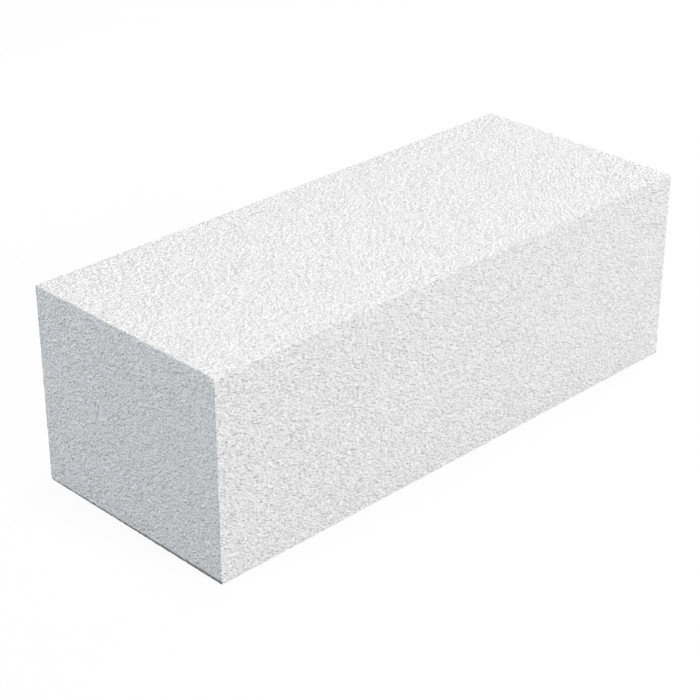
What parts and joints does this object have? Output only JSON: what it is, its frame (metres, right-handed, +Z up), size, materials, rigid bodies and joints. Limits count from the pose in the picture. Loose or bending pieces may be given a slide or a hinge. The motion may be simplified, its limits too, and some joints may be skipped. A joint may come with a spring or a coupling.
{
  "type": "aerated concrete block",
  "caption": "Solid rectangular wall block of autoclaved aerated concrete, wire-cut flat with lightly broken arrises, laid in courses on thin-bed mortar.",
  "frame": {"origin": "middle of the lower bed face, at floor level", "axes": "+X along the block's length, +Y across the wall, +Z up from bed face to bed face"},
  "size_m": [0.6, 0.24, 0.2],
  "materials": {
    "aerated_concrete": "matte, finely porous, as cut by wire"
  },
  "bodies": {
    "root": {"block": "aerated_concrete"}
  },
  "joints": []
}
